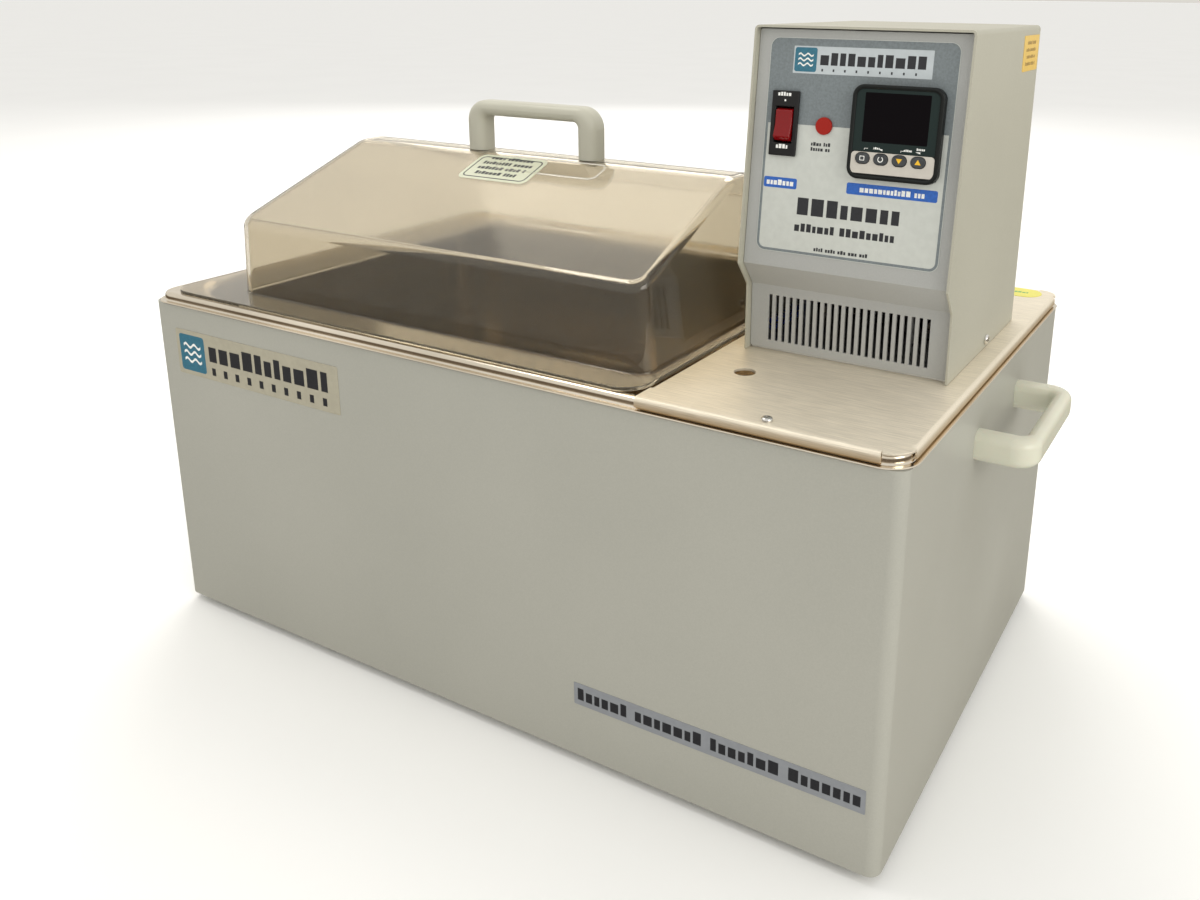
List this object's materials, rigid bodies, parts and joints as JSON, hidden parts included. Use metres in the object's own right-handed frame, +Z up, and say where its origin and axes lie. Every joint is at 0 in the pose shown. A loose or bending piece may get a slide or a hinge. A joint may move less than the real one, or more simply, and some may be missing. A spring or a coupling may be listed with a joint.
{
  "type": "laboratory water bath",
  "caption": "Bench water bath: stainless tank in a painted case, clear gable lid and a heater circulator head on a bridge plate.",
  "frame": {"origin": "on the bench, under the middle of the case", "axes": "+Z up, +X along the length towards the circulator head, +Y towards the back; the control panel faces -Y"},
  "size_m": [0.597, 0.3284, 0.4172],
  "materials": {
    "foot_rubber": "matt",
    "screw_steel": "bright plated",
    "zinc_sheet": "zinc plated sheet",
    "case_paint": "light warm grey powder coat, satin",
    "insulation": "mineral wool",
    "tank_steel": "pressed stainless steel, bright satin",
    "grip_plastic": "cream moulded plastic",
    "brushed_plate": "brushed stainless steel",
    "badge_film": "plain label film",
    "strip_film": "silver grey label film",
    "sticker_yellow": "yellow label film",
    "panel_paint": "light grey powder coat, satin",
    "label_film": "grey and white printed film",
    "controller_black": "black moulded plastic",
    "window_glass": "smoked display window",
    "keypad_silver": "silver keypad film",
    "button_rubber": "dark grey moulded keys",
    "switch_black": "black moulded plastic",
    "rocker_red": "translucent red",
    "lamp_red": "red lens",
    "terminal_plastic": "ivory",
    "wire_cover": "insulated wire",
    "board_green": "circuit board",
    "relay_plastic": "black",
    "motor_paint": "dark grey",
    "shaft_steel": "ground stainless steel",
    "pin_brass": "brass",
    "heater_sheath": "heat tinted stainless sheath",
    "lid_clear": "clear thermoformed plastic, slightly tan",
    "lid_label_film": "plain label film with a border"
  },
  "bodies": {
    "bath": {"rubber_feet": "foot_rubber", "foot_screws": "screw_steel", "base_plate": "zinc_sheet", "base_screws": "screw_steel", "outer_case": "case_paint", "insulation_walls": "insulation", "insulation_base": "insulation", "bath_tank": "tank_steel", "left_carry_handle": "grip_plastic", "right_carry_handle": "grip_plastic", "carry_handle_screws": "screw_steel", "bridge_plate": "brushed_plate", "bridge_plate_screws": "screw_steel", "case_badge": "badge_film", "case_strip": "strip_film", "plate_sticker": "sticker_yellow", "head_base": "zinc_sheet", "head_front_panel": "panel_paint", "head_rear_panel": "panel_paint", "head_cover": "case_paint", "cover_screws": "screw_steel", "front_label": "label_film", "side_sticker": "sticker_yellow", "controller": "controller_black", "controller_window": "window_glass", "keypad_plate": "keypad_silver", "switch_frame": "switch_black", "over_temp_lamp": "lamp_red", "mains_inlet": "switch_black", "inlet_pins": "pin_brass", "inlet_screws": "screw_steel", "terminal_block": "terminal_plastic", "wiring_loom": "wire_cover", "board_bracket": "zinc_sheet", "control_board": "board_green", "relay": "relay_plastic", "motor_mount": "zinc_sheet", "motor": "motor_paint", "shaft_seal": "switch_black", "pump_column": "tank_steel", "heater_coil": "heater_sheath", "temperature_probe": "shaft_steel", "over_temp_probe": "shaft_steel"},
    "lid": {"lid_shell": "lid_clear", "lid_handle": "grip_plastic", "lid_handle_screws": "screw_steel", "lid_label": "lid_label_film"},
    "rotor": {"drive_shaft": "shaft_steel", "cooling_fan": "relay_plastic", "pump_impeller": "shaft_steel"},
    "rocker": {"switch_rocker": "rocker_red"},
    "page_key": {"page_button": "button_rubber"},
    "scroll_key": {"scroll_button": "button_rubber"},
    "down_key": {"down_button": "button_rubber"},
    "up_key": {"up_button": "button_rubber"}
  },
  "joints": [
    {"name": "lid_lift", "type": "slide", "parent": "bath", "child": "lid", "axis": [0, 0, 1], "range_m": [0, 0.25]},
    {"name": "rotor_spin", "type": "hinge", "parent": "bath", "child": "rotor", "pos_m": [0.18, 0.028, 0.2], "axis": [0, 0, 1], "continuous": true},
    {"name": "rocker_tilt", "type": "hinge", "parent": "bath", "child": "rocker", "pos_m": [0.154, -0.06094, 0.36542], "axis": [1, 0, 0], "range_deg": [0, 14]},
    {"name": "page_key_press", "type": "slide", "parent": "bath", "child": "page_key", "axis": [0, 0.9945, -0.1047], "range_m": [0, 0.0005], "stiffness_N_per_m": 400},
    {"name": "scroll_key_press", "type": "slide", "parent": "bath", "child": "scroll_key", "axis": [0, 0.9945, -0.1047], "range_m": [0, 0.0005], "stiffness_N_per_m": 400},
    {"name": "down_key_press", "type": "slide", "parent": "bath", "child": "down_key", "axis": [0, 0.9945, -0.1047], "range_m": [0, 0.0005], "stiffness_N_per_m": 400},
    {"name": "up_key_press", "type": "slide", "parent": "bath", "child": "up_key", "axis": [0, 0.9945, -0.1047], "range_m": [0, 0.0005], "stiffness_N_per_m": 400}
  ]
}
